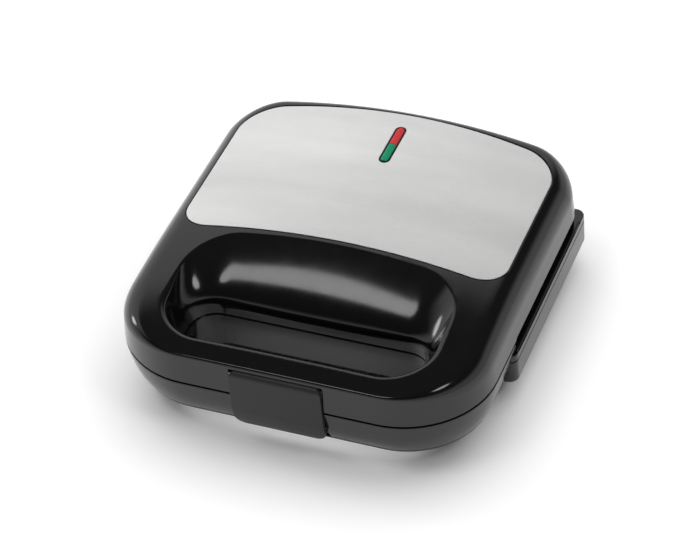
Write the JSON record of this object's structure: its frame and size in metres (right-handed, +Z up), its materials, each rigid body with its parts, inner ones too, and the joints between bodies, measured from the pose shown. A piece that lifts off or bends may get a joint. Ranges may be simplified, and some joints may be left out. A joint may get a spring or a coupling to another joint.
{
  "type": "sandwich toaster",
  "caption": "Countertop sandwich toaster with a hinged lid, a handle opening through lid and base, a front latch clip and diagonal sandwich pockets.",
  "frame": {"origin": "on the surface that the feet stand on, under the middle of the overall box", "axes": "+Z up; -Y is the front, with the latch clip and the handle; +X is to the right of someone in front of it"},
  "size_m": [0.2392, 0.25, 0.0842],
  "materials": {
    "gloss_black": "high gloss moulded black",
    "matt_black": "fine matt moulded black",
    "satin_grey": "satin dark grey",
    "brushed_steel": "brushed along the width",
    "plain_steel": "plain bright",
    "non_stick": "dark non-stick coating",
    "red_lens": "clear tinted, ribbed",
    "green_lens": "clear tinted, ribbed",
    "lamp_glass": "clear",
    "board": "laminate",
    "rubber": "matt",
    "ceramic": "unglazed white"
  },
  "bodies": {
    "base": {"base_housing": "gloss_black", "base_frame": "matt_black", "lower_cooking_plate": "non_stick", "lower_heating_element": "plain_steel", "lower_reflector": "plain_steel", "thermal_fuse": "ceramic", "terminal_block": "ceramic", "left_hinge_pin": "plain_steel", "right_hinge_pin": "plain_steel", "bottom_cover": "matt_black", "cord_gland": "rubber", "front_left_foot": "rubber", "front_right_foot": "rubber", "rear_left_foot": "rubber", "rear_right_foot": "rubber", "lower_plate_screw_1": "plain_steel", "lower_plate_screw_2": "plain_steel", "lower_plate_screw_3": "plain_steel", "lower_plate_screw_4": "plain_steel", "base_frame_screw_1": "plain_steel", "base_frame_screw_2": "plain_steel", "base_frame_screw_3": "plain_steel", "base_frame_screw_4": "plain_steel", "cover_screw_1": "plain_steel", "cover_screw_2": "plain_steel", "cover_screw_3": "plain_steel", "cover_screw_4": "plain_steel"},
    "lid": {"lid_housing": "gloss_black", "steel_trim_plate": "brushed_steel", "indicator_bezel": "matt_black", "green_lens": "green_lens", "red_lens": "red_lens", "lamp_board": "board", "front_neon_lamp": "lamp_glass", "rear_neon_lamp": "lamp_glass", "lid_frame": "matt_black", "upper_cooking_plate": "non_stick", "upper_heating_element": "plain_steel", "upper_reflector": "plain_steel", "thermostat": "plain_steel", "latch_pin": "plain_steel", "upper_plate_screw_1": "plain_steel", "upper_plate_screw_2": "plain_steel", "upper_plate_screw_3": "plain_steel", "upper_plate_screw_4": "plain_steel", "lid_frame_screw_1": "plain_steel", "lid_frame_screw_2": "plain_steel", "lid_frame_screw_3": "plain_steel", "lid_frame_screw_4": "plain_steel"},
    "latch": {"latch_clip": "satin_grey"}
  },
  "joints": [
    {"name": "lid_hinge", "type": "hinge", "parent": "base", "child": "lid", "pos_m": [0, 0.1205, 0.046], "axis": [-1, 0, 0], "range_deg": [0, 100]},
    {"name": "latch_pivot", "type": "hinge", "parent": "lid", "child": "latch", "pos_m": [0, -0.1212, 0.0615], "axis": [-1, 0, 0], "range_deg": [-2, 40]}
  ]
}
